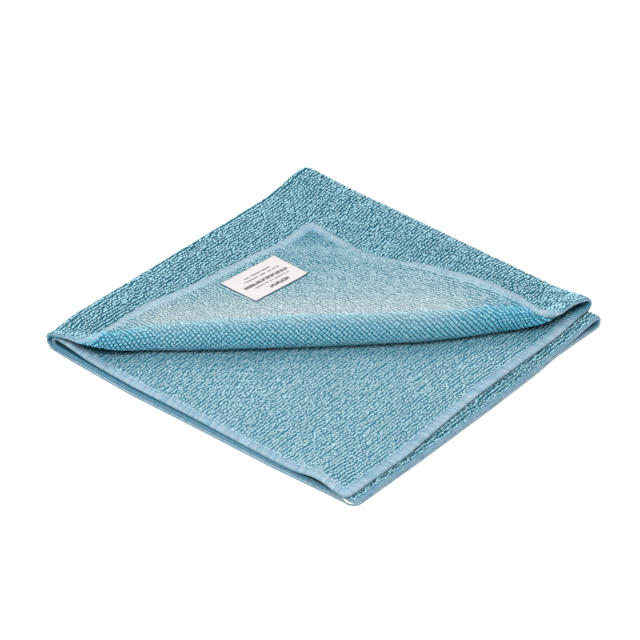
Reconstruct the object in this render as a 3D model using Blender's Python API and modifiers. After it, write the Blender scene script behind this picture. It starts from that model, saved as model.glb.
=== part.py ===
"""Microfibre terry cloth, folded in quarters with its top corner turned back.

One square of knitted cloth, 400 x 400 mm, is folded twice into four layers of
200 x 200 mm.  The free corner of the top layer is laid back over a soft roll,
so that the underside shows with the label that is sewn beside its hem.

Frame: metres, +Z up, the cloth lies on z = 0 with its middle at the origin.
The first fold runs along the +Y side and the second along the -X side, so the
closed corner is at -X +Y and the four cloth corners lie together at +X -Y.
"""

import math

import bmesh
import bpy
import numpy as np

MM = 0.001

# Cloth as cut, and as folded
CUT = 400 * MM
HALF = CUT / 2
SHEET = 1.6 * MM
FOLDED = 200 * MM
CORNER_ROUND = 7 * MM  # rounding of the cut corners by the hem
CORNER_POWER = 4

# Half the distance between the middles of two layers, where they lie pressed
# together and where they swell beside a fold
PRESSED = 1.15 * MM
SWELL_REACH = 17 * MM
FIRST_SWELL = (
    # distance from the second fold, half distance at the first fold
    (0, 2.8),
    (60, 2.6),
    (150, 2.3),
    (178, 2.2),
    (196, 2.9),
)
SECOND_SWELL = (
    # distance from the first fold, half distance at the second fold
    (0, 1.6),
    (60, 1.8),
    (200, 2.5),
)
FIRST_TURN = 5 * MM  # how far in from the outer face each fold's turn reaches
SECOND_TURN = 7 * MM
FOLD_WEST = (
    # y, outer face of the second fold (x)
    (-100, -97.8),
    (-80, -100.4),
    (-40, -100.0),
    (100, -100.0),
)

# Where the free hems end.  Layer 1 is the top one, 3 and 4 lie on the table.
FREE_EAST = (
    # y, layer 1, layer 2, layers 3 and 4 (all x)
    (-100, 100.6, 96.5, 99.8),
    (-55, 94.5, 97.0, 100.6),
    (-13, 98.8, 94.0, 100.8),
    (10, 99.5, 93.0, 100.8),
    (45, 96.0, 93.0, 100.2),
    (62, 91.0, 93.2, 99.0),
    (82, 90.0, 93.4, 99.4),
    (100, 93.8, 93.8, 100.0),
)
FREE_SOUTH = (
    # x, layer 1, layer 2, layers 3 and 4 (all y)
    (-100, -102.5, -99.0, -99.0),
    (-85, -99.5, -99.2, -100.0),
    (-42, -103.5, -100.4, -101.3),
    (0, -99.4, -99.6, -100.2),
    (50, -97.0, -99.6, -99.4),
    (100, -100.0, -99.3, -96.6),
)

# The hem of layer 2 stands up in a small arch near the open corner
ARCH_X = 78 * MM
ARCH_HALF_WIDTH = 11 * MM
ARCH_DEPTH = 16 * MM
ARCH_RISE = 3.0 * MM

# The turned-back corner.  Stations lie along the roll; at each one the layer
# leaves the one below it, climbs, turns over and slopes down to lie flat.
ROLL = (
    # station, start, climb (deg), climb length, radius, slope (deg),
    # middle of the drop, height where it lies
    (-142, 2.0, 24, 4, 3.4, 6, 95, 3.2),
    (-114, 5.0, 22, 16, 2.6, 6, 95, 3.2),
    (-104, 7.0, 16, 12, 3.2, 6, 95, 3.6),
    (-88, 9.2, 8, 6, 4.8, 6, 95, 4.2),
    (-64, 13.0, 2, 2, 6.0, 6, 97, 3.5),
    (-30, 15.0, 0, 0, 6.8, 5, 112, 2.8),
    (0, 15.0, 0, 0, 7.0, 5, 112, 2.7),
    (46, 12.8, 2, 2, 6.9, 5, 95, 2.7),
    (67, 9.2, 5, 4, 6.0, 5, 97, 3.0),
    (88, 4.8, 9, 6, 5.0, 5, 97, 3.0),
    (109, 0.0, 21, 12, 2.2, 5, 97, 3.0),
    (126, -6.0, 21, 10, 2.0, 5, 97, 3.0),
    (142, -2.0, 15, 9, 2.0, 5, 97, 3.0),
)
DROP_LENGTH = 34 * MM
ROLL_REACH = 144 * MM  # the profile tables run this far to each side and onward
ROLL_LEAD = 10 * MM  # and this far ahead of the roll
ROLL_STEP = 0.5 * MM
ROLL_STATIONS = 97
ROLL_BLEND = 12 * MM  # the layer leaves its own height for that of the stack below
LIFT_FROM = -2 * MM  # the layer bends up over this stretch about its start
LIFT_TO = 3 * MM

# Label, sewn along the hem on the underside of the corner
LABEL_LENGTH = 40 * MM
LABEL_WIDTH = 25.5 * MM
LABEL_THICKNESS = 0.6 * MM
LABEL_GAP = 0.4 * MM
LABEL_FROM_CORNER = 43.5 * MM
LABEL_FROM_EDGE = 10.2 * MM

# Grid of the cloth in cells, each way: in the two lower layers (closer together
# by the fold and by the hem), round the fold, and in the turned-back layer
CELLS_BACK = 8
CELLS_TURN = 9
CELLS_FRONT = 36
TURN_LENGTH = 12 * MM


def column(table, across, at):
    """Column `across` of a table in millimetres, read at `at` metres."""
    rows = np.array(table, float)
    return np.interp(at, rows[:, 0] * MM, rows[:, across] * MM)


def angle(table, across, at):
    """Column `across` of a table, in degrees there and in radians here."""
    rows = np.array(table, float)
    return np.radians(np.interp(at, rows[:, 0] * MM, rows[:, across]))


def ease(low, high, at):
    """0 below `low`, 1 above `high`, and a smooth step between them."""
    t = np.clip((at - low) / (high - low), 0, 1)
    return t * t * (3 - 2 * t)


def swell(table, along, beyond):
    """Half layer distance `beyond` a fold's turn, at `along` that fold."""
    full = column(table, 1, along)
    return PRESSED + (full - PRESSED) * np.exp(-((beyond / SWELL_REACH) ** 2))


def turn_of(table, along, distance):
    """Radius of a fold's turn, and the distance left beyond its quarter."""
    radius = column(table, 1, along)
    beyond = np.maximum(distance - radius * math.pi / 2, 0)
    return radius, beyond


def rounded(u, v):
    """Draws the square's corners in, as the hem runs round them."""
    p = np.maximum(np.abs(u) - (HALF - CORNER_ROUND), 0) / CORNER_ROUND
    q = np.maximum(np.abs(v) - (HALF - CORNER_ROUND), 0) / CORNER_ROUND
    norm = (p**CORNER_POWER + q**CORNER_POWER) ** (1 / CORNER_POWER)
    shrink = np.where(norm > 0, np.maximum(p, q) / np.maximum(norm, 1e-9), 1)
    cut = CORNER_ROUND * (1 - shrink)
    return u - np.sign(u) * cut * p, v - np.sign(v) * cut * q


def free_edge(table, u, v, at, turn):
    """Position of the free hem of the layer that (u, v) is in.

    Round the second fold, which takes `turn` to each side of u = 0, the hem of
    an upper layer goes over into that of the lower ones.
    """
    upper = np.where(v > 0, column(table, 1, at), column(table, 2, at))
    lower = column(table, 3, at)
    return lower + (upper - lower) * ease(-turn, turn, u)


def quarter_fold(u, v):
    """Cloth point (u, v) in the flat stack of four layers, before the roll."""
    far_u, far_v = np.abs(u), np.abs(v)
    a_turn, v_beyond = turn_of(FIRST_SWELL, far_u, far_v)
    a = swell(FIRST_SWELL, far_u, v_beyond)
    g_turn = column(SECOND_SWELL, 1, far_v)
    h_turn = swell(FIRST_SWELL, 0 * far_u, v_beyond) + g_turn
    u_quarter = h_turn * math.pi / 2
    u_beyond = np.maximum(far_u - u_quarter, 0)
    g = swell(SECOND_SWELL, far_v, u_beyond)
    h = a + g

    # first fold: +v lies over -v, turning at the +Y side
    v_quarter = a_turn * math.pi / 2
    v_angle = np.clip(v / v_quarter, -1, 1) * math.pi / 2
    w = a * np.sin(v_angle)
    y_turn = FOLDED / 2 - SHEET / 2 - a_turn
    y_end = y_turn - (HALF - v_quarter)
    x_guess = -FOLDED / 2 + far_u
    y_free = free_edge(FREE_SOUTH, u, v, x_guess, u_quarter)
    y_share = v_beyond / (HALF - v_quarter)
    y = y_turn + a_turn * np.cos(v_angle) - v_beyond + (y_free - y_end) * y_share

    # second fold: +u lies over -u, turning at the -X side
    u_angle = np.clip(u / u_quarter, -1, 1) * math.pi / 2
    a_outer = swell(FIRST_SWELL, 0 * far_u, v_beyond)
    x_turn = column(FOLD_WEST, 1, y) + SHEET / 2 + h_turn + a_outer
    x_end = x_turn + HALF - u_quarter
    x_free = free_edge(FREE_EAST, u, v, y, u_quarter)
    x_share = u_beyond / (HALF - u_quarter)
    middle = SHEET / 2 + h + a
    x = x_turn - (h + w) * np.cos(u_angle) + u_beyond + (x_free - x_end) * x_share
    z = middle + (h + w) * np.sin(u_angle)

    # the small arch of layer 2's hem
    second = (u > 0) & (v < 0)
    bump = np.exp(-(((x - ARCH_X) / ARCH_HALF_WIDTH) ** 2))
    depth = np.exp(-(((y + FOLDED / 2) / ARCH_DEPTH) ** 2))
    z = z + np.where(second, ARCH_RISE * bump * depth, 0)
    return x, y, z


def top_height(x, y):
    """Height of the middle of layer 1 in the flat stack at (x, y)."""
    from_first = np.maximum(FOLDED / 2 - y - FIRST_TURN, 0)
    from_second = np.maximum(x + FOLDED / 2 - SECOND_TURN, 0)
    a = swell(FIRST_SWELL, x + FOLDED / 2, from_first)
    g = swell(SECOND_SWELL, FOLDED / 2 - y, from_second)
    return SHEET / 2 + 4 * a + 2 * g


def roll_profiles():
    """Position along the diagonal and height, by station and cloth length."""
    stations = np.linspace(-ROLL_REACH, ROLL_REACH, ROLL_STATIONS)
    lengths = np.arange(-ROLL_LEAD, ROLL_REACH + 2 * MM, ROLL_STEP)
    start = column(ROLL, 1, stations)[:, None]
    climb = angle(ROLL, 2, stations)[:, None]
    climb_end = start + column(ROLL, 3, stations)[:, None]
    radius = column(ROLL, 4, stations)[:, None]
    slope = angle(ROLL, 5, stations)[:, None]
    drop_middle = column(ROLL, 6, stations)[:, None]
    lying = column(ROLL, 7, stations)[:, None]
    turn_end = climb_end + radius * (math.pi + slope - climb)
    crest = (
        (climb_end - start) * np.sin(climb)
        + radius * (np.cos(climb) - np.cos(math.pi + slope))
    )
    left = crest - lying - (drop_middle - turn_end) * np.sin(slope)
    steep = np.maximum(left, 0) / (DROP_LENGTH / 2)
    s = lengths[None, :]
    heading = climb * ease(start + LIFT_FROM, start + LIFT_TO, s)
    heading = heading + np.clip((s - climb_end) / radius, 0, math.pi + slope - climb)
    across = np.clip((s - drop_middle) / DROP_LENGTH, -0.5, 0.5)
    heading = heading - slope * ease(-0.5, 0.5, across)
    heading = heading + steep * np.cos(math.pi * across) ** 2
    soft = np.array([1, 2, 3, 2, 1]) / 9
    heading = np.apply_along_axis(
        lambda row: np.convolve(np.pad(row, 2, mode="edge"), soft, "valid"), 1, heading
    )
    along = lengths[0] + (np.cumsum(np.cos(heading), axis=1) - 1) * ROLL_STEP
    height = np.cumsum(np.sin(heading), axis=1) * ROLL_STEP
    return stations, lengths, along, height


STATIONS, LENGTHS, ALONG, HEIGHT = roll_profiles()


def read_profile(values, station, length):
    """Bilinear reading of a profile array."""
    i = np.clip(np.searchsorted(STATIONS, station) - 1, 0, len(STATIONS) - 2)
    j = np.clip(np.searchsorted(LENGTHS, length) - 1, 0, len(LENGTHS) - 2)
    p = np.clip((station - STATIONS[i]) / (STATIONS[i + 1] - STATIONS[i]), 0, 1)
    q = np.clip((length - LENGTHS[j]) / (LENGTHS[j + 1] - LENGTHS[j]), 0, 1)
    low = values[i, j] * (1 - q) + values[i, j + 1] * q
    high = values[i + 1, j] * (1 - q) + values[i + 1, j + 1] * q
    return low * (1 - p) + high * p


def place(u, v):
    """Middle of the sheet at cloth point (u, v), as it lies on the table."""
    u, v = rounded(u, v)
    x, y, z = quarter_fold(u, v)
    length = (x - y) / math.sqrt(2)
    station = (x + y) / math.sqrt(2)
    along = read_profile(ALONG, station, length)
    rise = read_profile(HEIGHT, station, length)
    turned = (u > 0) & (v > 0) & (length > LENGTHS[0])
    over_x = (station + along) / math.sqrt(2)
    over_y = (station - along) / math.sqrt(2)
    share = ease(0, ROLL_BLEND, length)
    base = z * (1 - share) + top_height(over_x, over_y) * share
    x = np.where(turned, over_x, x)
    y = np.where(turned, over_y, y)
    z = np.where(turned, base + rise, z)
    return np.stack([x, y, z], axis=-1)


def grid_lines():
    """Positions of the grid lines from one cut edge to the other."""
    flat = HALF - TURN_LENGTH / 2
    share = (1 - np.cos(np.linspace(0, math.pi, CELLS_BACK + 1))) / 2
    back = -HALF + flat * share
    turn = np.linspace(-TURN_LENGTH / 2, TURN_LENGTH / 2, CELLS_TURN + 1)
    front = np.linspace(TURN_LENGTH / 2, HALF, CELLS_FRONT + 1)
    return np.concatenate([back, turn[1:], front[1:]])


def formed_grid(name, u_lines, v_lines, shape):
    """A grid whose vertices are moved by `shape` from (u, v) to space."""
    mesh = bpy.data.meshes.new(name)
    bm = bmesh.new()
    bmesh.ops.create_grid(
        bm, x_segments=len(u_lines) - 1, y_segments=len(v_lines) - 1, size=0.5
    )
    bm.verts.ensure_lookup_table()
    at = np.array([vert.co[:] for vert in bm.verts])
    i = np.rint((at[:, 0] + 0.5) * (len(u_lines) - 1)).astype(int)
    j = np.rint((at[:, 1] + 0.5) * (len(v_lines) - 1)).astype(int)
    for vert, point in zip(bm.verts, shape(u_lines[i], v_lines[j])):
        vert.co = point
    bm.to_mesh(mesh)
    bm.free()
    mesh.shade_smooth()
    return bpy.data.objects.new(name, mesh)


def solidify(obj, thickness):
    """Gives an open surface its thickness, half to each side."""
    modifier = obj.modifiers.new("Thickness", "SOLIDIFY")
    modifier.thickness = thickness
    modifier.offset = 0


def material(name, colour, roughness):
    """A Principled material for cloth."""
    made = bpy.data.materials.new(name)
    made.use_nodes = True
    shader = made.node_tree.nodes["Principled BSDF"]
    shader.inputs["Base Color"].default_value = (*colour, 1)
    shader.inputs["Roughness"].default_value = roughness
    shader.inputs["Metallic"].default_value = 0
    return made


def make_cloth():
    """The cloth with its hem, one folded sheet."""
    lines = grid_lines()
    cloth = formed_grid("cloth", lines, lines, place)
    solidify(cloth, SHEET)
    cloth.data.materials.append(material("cloth", (0.21, 0.46, 0.55), 0.95))
    return cloth


def label_surface(u, v):
    """Middle of the label: the cloth's underside, offset by the gap."""
    step = 1 * MM
    du = place(u + step, v) - place(u - step, v)
    dv = place(u, v + step) - place(u, v - step)
    normal = np.cross(du, dv)
    normal /= np.linalg.norm(normal, axis=-1, keepdims=True)
    return place(u, v) + normal * (SHEET / 2 + LABEL_GAP + LABEL_THICKNESS / 2)


def make_label():
    """The label, a thin strip of smooth tape."""
    u_far = HALF - LABEL_FROM_CORNER
    v_far = HALF - LABEL_FROM_EDGE
    u_lines = np.linspace(u_far - LABEL_LENGTH, u_far, 11)
    v_lines = np.linspace(v_far - LABEL_WIDTH, v_far, 7)
    label = formed_grid("label", u_lines, v_lines, label_surface)
    solidify(label, LABEL_THICKNESS)
    label.data.materials.append(material("label", (0.84, 0.81, 0.80), 0.6))
    return label


def settle(pieces):
    """Puts the middle of the whole over the origin, and its foot on z = 0."""
    bpy.context.view_layer.update()
    graph = bpy.context.evaluated_depsgraph_get()
    corners = []
    for piece in pieces:
        mesh = piece.evaluated_get(graph).data
        corners += [vert.co.to_tuple() for vert in mesh.vertices]
    low, high = np.min(corners, axis=0), np.max(corners, axis=0)
    shift = np.array([-(low[0] + high[0]) / 2, -(low[1] + high[1]) / 2, -low[2]])
    for piece in pieces:
        for vert in piece.data.vertices:
            vert.co = np.array(vert.co) + shift


def main():
    for obj in list(bpy.data.objects):
        bpy.data.objects.remove(obj, do_unlink=True)
    collection = bpy.data.collections.new("microfibre_cloth")
    bpy.context.scene.collection.children.link(collection)
    pieces = [make_cloth(), make_label()]
    for piece in pieces:
        collection.objects.link(piece)
    settle(pieces)


if __name__ == "__main__":
    main()
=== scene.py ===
"""Microfibre terry cloth, folded in quarters with its top corner turned back.

The cloth is one square of knitted terry with an overlocked hem and a sewn
label.  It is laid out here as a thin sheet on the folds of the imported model,
and dressed with its loops of yarn, its hem stitches and its label.

Frame: metres, +Z up, the cloth lies on z = 0 with its middle at the origin.
Cloth coordinates (u, v) run from -HALF to HALF over the square as it was cut.
"""

import math

import bmesh
import bpy
import numpy as np
from mathutils import Matrix, Vector


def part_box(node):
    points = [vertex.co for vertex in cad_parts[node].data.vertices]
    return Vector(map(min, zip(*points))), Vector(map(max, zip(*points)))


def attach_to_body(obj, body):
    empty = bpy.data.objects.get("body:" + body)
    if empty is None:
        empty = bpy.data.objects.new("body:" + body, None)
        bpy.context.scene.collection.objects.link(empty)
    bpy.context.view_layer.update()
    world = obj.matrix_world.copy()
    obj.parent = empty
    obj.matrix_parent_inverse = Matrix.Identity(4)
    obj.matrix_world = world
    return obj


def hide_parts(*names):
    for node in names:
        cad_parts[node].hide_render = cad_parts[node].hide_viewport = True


bl_info = {
    "name": "Folded microfibre cloth",
    "version": (1, 0, 0),
    "blender": (4, 5, 0),
    "location": "View3D > Sidebar > Cloth",
    "description": "Dresses the folded cloth with its terry loops, hem and label",
    "category": "Object",
}

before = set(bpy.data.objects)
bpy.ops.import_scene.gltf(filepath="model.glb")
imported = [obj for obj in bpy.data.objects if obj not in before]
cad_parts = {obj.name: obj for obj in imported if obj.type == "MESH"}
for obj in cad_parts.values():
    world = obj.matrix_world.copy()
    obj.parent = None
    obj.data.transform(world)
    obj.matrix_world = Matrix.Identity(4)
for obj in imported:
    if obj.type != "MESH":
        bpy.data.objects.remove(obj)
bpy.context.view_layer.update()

MM = 0.001
ROOT_TWO = math.sqrt(2)
BODY = "root"

# ---- the folds

CUT = 400 * MM
HALF = CUT / 2
SHEET = 1.6 * MM
FOLDED = 200 * MM
CORNER_ROUND = 7 * MM
CORNER_POWER = 4

PRESSED = 1.15 * MM
SWELL_REACH = 17 * MM
# distance from the second fold, half distance at the first fold
FIRST_SWELL = (0, 2.8), (60, 2.6), (150, 2.3), (178, 2.2), (196, 2.9)
# distance from the first fold, half distance at the second fold
SECOND_SWELL = (0, 1.6), (60, 1.8), (200, 2.5)
FIRST_TURN = 5 * MM
SECOND_TURN = 7 * MM
# y, outer face of the second fold (x)
FOLD_WEST = (-100, -97.8), (-80, -100.4), (-40, -100.0), (100, -100.0)
FREE_EAST = (
    # y, layer 1, layer 2, layers 3 and 4 (all x)
    (-100, 100.6, 96.5, 99.8),
    (-55, 94.5, 97.0, 100.6),
    (-13, 98.8, 94.0, 100.8),
    (10, 99.5, 93.0, 100.8),
    (45, 96.0, 93.0, 100.2),
    (62, 91.0, 93.2, 99.0),
    (82, 90.0, 93.4, 99.4),
    (100, 93.8, 93.8, 100.0),
)
FREE_SOUTH = (
    # x, layer 1, layer 2, layers 3 and 4 (all y)
    (-100, -102.5, -99.0, -99.0),
    (-85, -99.5, -99.2, -100.0),
    (-42, -103.5, -100.4, -101.3),
    (0, -99.4, -99.6, -100.2),
    (50, -97.0, -99.6, -99.4),
    (100, -100.0, -99.3, -96.6),
)
ARCH_X = 78 * MM
ARCH_HALF_WIDTH = 11 * MM
ARCH_DEPTH = 16 * MM
ARCH_RISE = 3.0 * MM
ROLL = (
    # station, start, climb (deg), climb length, radius, slope (deg),
    # middle of the drop, height where it lies
    (-142, 2.0, 24, 4, 3.4, 6, 95, 3.2),
    (-114, 5.0, 22, 16, 2.6, 6, 95, 3.2),
    (-104, 7.0, 16, 12, 3.2, 6, 95, 3.6),
    (-88, 9.2, 8, 6, 4.8, 6, 95, 4.2),
    (-64, 13.0, 2, 2, 6.0, 6, 97, 3.5),
    (-30, 15.0, 0, 0, 6.8, 5, 112, 2.8),
    (0, 15.0, 0, 0, 7.0, 5, 112, 2.7),
    (46, 12.8, 2, 2, 6.9, 5, 95, 2.7),
    (67, 9.2, 5, 4, 6.0, 5, 97, 3.0),
    (88, 4.8, 9, 6, 5.0, 5, 97, 3.0),
    (109, 0.0, 21, 12, 2.2, 5, 97, 3.0),
    (126, -6.0, 21, 10, 2.0, 5, 97, 3.0),
    (142, -2.0, 15, 9, 2.0, 5, 97, 3.0),
)
DROP_LENGTH = 34 * MM
ROLL_REACH = 144 * MM
ROLL_LEAD = 10 * MM
ROLL_STEP = 0.5 * MM
ROLL_STATIONS = 97
ROLL_BLEND = 12 * MM
LIFT_FROM = -2 * MM
LIFT_TO = 3 * MM

INNER, OUTER = 1, -1  # the side that faces the table in the top layer, and the other


def unit(vectors):
    """The vectors, each scaled to length 1."""
    return vectors / np.linalg.norm(vectors, axis=-1, keepdims=True)


def column(table, across, at):
    """Column `across` of a table in millimetres, read at `at` metres."""
    rows = np.array(table, float)
    return np.interp(at, rows[:, 0] * MM, rows[:, across] * MM)


def angle(table, across, at):
    """Column `across` of a table, in degrees there and in radians here."""
    rows = np.array(table, float)
    return np.radians(np.interp(at, rows[:, 0] * MM, rows[:, across]))


def ease(low, high, at):
    """0 below `low`, 1 above `high`, and a smooth step between them."""
    t = np.clip((at - low) / (high - low), 0, 1)
    return t * t * (3 - 2 * t)


def mix(low, high, share):
    """From `low` at a share of 0 to `high` at a share of 1."""
    return low + (high - low) * share


def swell(table, along, beyond):
    """Half layer distance `beyond` a fold's turn, at `along` that fold."""
    full = column(table, 1, along)
    return PRESSED + (full - PRESSED) * np.exp(-((beyond / SWELL_REACH) ** 2))


def rounded(u, v):
    """Draws the square's corners in, as the hem runs round them."""
    p = np.maximum(np.abs(u) - (HALF - CORNER_ROUND), 0) / CORNER_ROUND
    q = np.maximum(np.abs(v) - (HALF - CORNER_ROUND), 0) / CORNER_ROUND
    norm = (p**CORNER_POWER + q**CORNER_POWER) ** (1 / CORNER_POWER)
    shrink = np.where(norm > 0, np.maximum(p, q) / np.maximum(norm, 1e-9), 1)
    cut = CORNER_ROUND * (1 - shrink)
    return u - np.sign(u) * cut * p, v - np.sign(v) * cut * q


def free_edge(table, u, v, at, turn):
    """Position of the free hem of the layer that (u, v) is in.

    Round the second fold, which takes `turn` to each side of u = 0, the hem of
    an upper layer goes over into that of the lower ones.
    """
    upper = np.where(v > 0, column(table, 1, at), column(table, 2, at))
    return mix(column(table, 3, at), upper, ease(-turn, turn, u))


def quarter_fold(u, v):
    """Cloth point (u, v) in the flat stack of four layers, before the roll."""
    far_u, far_v = np.abs(u), np.abs(v)
    a_turn = column(FIRST_SWELL, 1, far_u)
    v_quarter = a_turn * math.pi / 2
    v_beyond = np.maximum(far_v - v_quarter, 0)
    a = swell(FIRST_SWELL, far_u, v_beyond)
    a_outer = swell(FIRST_SWELL, 0 * far_u, v_beyond)
    h_turn = a_outer + column(SECOND_SWELL, 1, far_v)
    u_quarter = h_turn * math.pi / 2
    u_beyond = np.maximum(far_u - u_quarter, 0)
    h = a + swell(SECOND_SWELL, far_v, u_beyond)

    # first fold: +v lies over -v, turning at the +Y side
    v_angle = np.clip(v / v_quarter, -1, 1) * math.pi / 2
    w = a * np.sin(v_angle)
    y_turn = FOLDED / 2 - SHEET / 2 - a_turn
    y_end = y_turn - (HALF - v_quarter)
    y_free = free_edge(FREE_SOUTH, u, v, -FOLDED / 2 + far_u, u_quarter)
    y_share = v_beyond / (HALF - v_quarter)
    y = y_turn + a_turn * np.cos(v_angle) - v_beyond + (y_free - y_end) * y_share

    # second fold: +u lies over -u, turning at the -X side
    u_angle = np.clip(u / u_quarter, -1, 1) * math.pi / 2
    x_turn = column(FOLD_WEST, 1, y) + SHEET / 2 + h_turn + a_outer
    x_end = x_turn + HALF - u_quarter
    x_free = free_edge(FREE_EAST, u, v, y, u_quarter)
    x_share = u_beyond / (HALF - u_quarter)
    x = x_turn - (h + w) * np.cos(u_angle) + u_beyond + (x_free - x_end) * x_share
    z = SHEET / 2 + h + a + (h + w) * np.sin(u_angle)

    # the small arch of layer 2's hem
    second = (u > 0) & (v < 0)
    bump = np.exp(-(((x - ARCH_X) / ARCH_HALF_WIDTH) ** 2))
    depth = np.exp(-(((y + FOLDED / 2) / ARCH_DEPTH) ** 2))
    return x, y, z + np.where(second, ARCH_RISE * bump * depth, 0)


def top_height(x, y):
    """Height of the middle of layer 1 in the flat stack at (x, y)."""
    from_first = np.maximum(FOLDED / 2 - y - FIRST_TURN, 0)
    from_second = np.maximum(x + FOLDED / 2 - SECOND_TURN, 0)
    a = swell(FIRST_SWELL, x + FOLDED / 2, from_first)
    g = swell(SECOND_SWELL, FOLDED / 2 - y, from_second)
    return SHEET / 2 + 4 * a + 2 * g


def roll_profiles():
    """Position along the diagonal and height, by station and cloth length."""
    stations = np.linspace(-ROLL_REACH, ROLL_REACH, ROLL_STATIONS)
    lengths = np.arange(-ROLL_LEAD, ROLL_REACH + 2 * MM, ROLL_STEP)
    climb, slope = (angle(ROLL, k, stations)[:, None] for k in (2, 5))
    start, climb_length, radius, drop_middle, lying = (
        column(ROLL, k, stations)[:, None] for k in (1, 3, 4, 6, 7)
    )
    climb_end = start + climb_length
    turn_end = climb_end + radius * (math.pi + slope - climb)
    crest = (climb_end - start) * np.sin(climb)
    crest = crest + radius * (np.cos(climb) - np.cos(math.pi + slope))
    left = crest - lying - (drop_middle - turn_end) * np.sin(slope)
    steep = np.maximum(left, 0) / (DROP_LENGTH / 2)
    s = lengths[None, :]
    heading = climb * ease(start + LIFT_FROM, start + LIFT_TO, s)
    heading = heading + np.clip((s - climb_end) / radius, 0, math.pi + slope - climb)
    across = np.clip((s - drop_middle) / DROP_LENGTH, -0.5, 0.5)
    heading = heading - slope * ease(-0.5, 0.5, across)
    heading = heading + steep * np.cos(math.pi * across) ** 2
    soft = np.array([1, 2, 3, 2, 1]) / 9
    heading = np.apply_along_axis(
        lambda row: np.convolve(np.pad(row, 2, mode="edge"), soft, "valid"), 1, heading
    )
    along = lengths[0] + (np.cumsum(np.cos(heading), axis=1) - 1) * ROLL_STEP
    height = np.cumsum(np.sin(heading), axis=1) * ROLL_STEP
    return stations, lengths, along, height


STATIONS, LENGTHS, ALONG, HEIGHT = roll_profiles()


def read_profile(values, station, length):
    """Bilinear reading of a profile array."""
    i = np.clip(np.searchsorted(STATIONS, station) - 1, 0, len(STATIONS) - 2)
    j = np.clip(np.searchsorted(LENGTHS, length) - 1, 0, len(LENGTHS) - 2)
    p = np.clip((station - STATIONS[i]) / (STATIONS[i + 1] - STATIONS[i]), 0, 1)
    q = np.clip((length - LENGTHS[j]) / (LENGTHS[j + 1] - LENGTHS[j]), 0, 1)
    low = mix(values[i, j], values[i, j + 1], q)
    return mix(low, mix(values[i + 1, j], values[i + 1, j + 1], q), p)


def turned(x, y):
    """(x, y) along the axes of the roll, and the other way round."""
    return (x + y) / ROOT_TWO, (x - y) / ROOT_TWO


def roll_place(u, v):
    """Cloth point (u, v) on the roll: (station across it, length along the cloth)."""
    x, y, _ = quarter_fold(u, v)
    return turned(x, y)


def lay(u, v):
    """Middle of the sheet at cloth point (u, v), as it lies on the table."""
    x, y, z = quarter_fold(u, v)
    station, length = turned(x, y)
    along = read_profile(ALONG, station, length)
    rise = read_profile(HEIGHT, station, length)
    rolled = (u > 0) & (v > 0) & (length > LENGTHS[0])
    over_x, over_y = turned(station, along)
    share = ease(0, ROLL_BLEND, length)
    base = z * (1 - share) + top_height(over_x, over_y) * share
    x = np.where(rolled, over_x, x)
    y = np.where(rolled, over_y, y)
    z = np.where(rolled, base + rise, z)
    return np.stack([x, y, z], axis=-1)


def seat_on_frame():
    """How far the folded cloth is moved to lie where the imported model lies."""
    lines = np.linspace(-HALF, HALF, 321)
    u, v = np.meshgrid(lines, lines, indexing="ij")
    points = lay(*rounded(u.ravel(), v.ravel()))
    low, high = (np.array(corner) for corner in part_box("cloth"))
    middle = (points.min(axis=0) + points.max(axis=0)) / 2
    return ((low + high) / 2 - middle) * (1, 1, 0)


SEAT = seat_on_frame()
FEEL = 0.5 * MM  # half step of the differences that give directions


def directions(u, v):
    """Place of a cloth point, and unit vectors along u, along v and to the inner side."""
    along_u = unit(lay(u + FEEL, v) - lay(u - FEEL, v))
    along_v = unit(lay(u, v + FEEL) - lay(u, v - FEEL))
    inward = unit(np.cross(along_u, along_v))
    return lay(u, v) + SEAT, along_u, along_v, inward


# ---- settings


def a_length(name, description, default):
    """A length that a user may change; its default is in millimetres."""
    return bpy.props.FloatProperty(
        name=name, description=description, default=default * MM, unit="LENGTH"
    )


def a_number(name, description, default):
    """A plain number that a user may change."""
    return bpy.props.FloatProperty(name=name, description=description, default=default)


def an_angle(name, description, default):
    """An angle that a user may change; its default is in degrees."""
    return bpy.props.FloatProperty(
        name=name, description=description, default=math.radians(default), subtype="ANGLE"
    )


def a_colour(name, description, *default):
    """A colour that a user may change."""
    return bpy.props.FloatVectorProperty(
        name=name, description=description, default=default, subtype="COLOR", min=0, max=1
    )


class CLOTH_PG_settings(bpy.types.PropertyGroup):
    """Sizes and colours of the cloth, its loops and its hem."""

    core: a_length("Core", "Thickness of the knit under the loops", 1.0)
    row_pitch: a_length("Row pitch", "Distance between two rows of loops", 1.9)
    loop_step: a_length("Loop step", "Distance between two loops of a row", 1.6)
    loop_height: a_length("Loop height", "How far a loop stands out of the knit", 0.65)
    loop_span: a_length("Loop span", "Length of a loop along its row", 1.2)
    yarn: a_length("Yarn", "Radius of one strand of a loop", 0.28)
    hem_width: a_length("Hem width", "Reach of the hem stitches into the cloth", 5.4)
    stitch_pitch: a_length("Stitch pitch", "Distance between two hem stitches", 1.3)
    pile_colour: a_colour("Pile", "Colour of the tips of the loops", 0.40, 0.66, 0.75)
    # Colour of the knit and of the loops' roots: the yarn's deep hue, darkened as painted shade
    # between the loops
    deep_shade_colour: a_colour("Ground", "Colour of the knit between the loops", 0.010, 0.105, 0.150)
    # Colour of the painted sheen: the pale highlight painted onto the pile at the roll's crest
    # and on the flap
    painted_light_colour: a_colour("Painted sheen", "Colour of the painted sheen on the pile", 0.52, 0.52, 0.50)
    hem_colour: a_colour("Hem", "Colour of the hem thread", 0.31, 0.39, 0.46)
    hem_tint: a_colour("Hem tint", "Colour that the hem thread is mottled with", 0.23, 0.38, 0.46)
    tail_colour: a_colour("Thread end", "Colour of the loose end of thread", 0.62, 0.66, 0.58)
    # Colour of the painted shade on the hem: it shows between the stitches and on threads marked
    # darker
    hem_shade_colour: a_colour("Seam", "Colour between the threads of the hem", 0.015, 0.14, 0.22)


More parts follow.
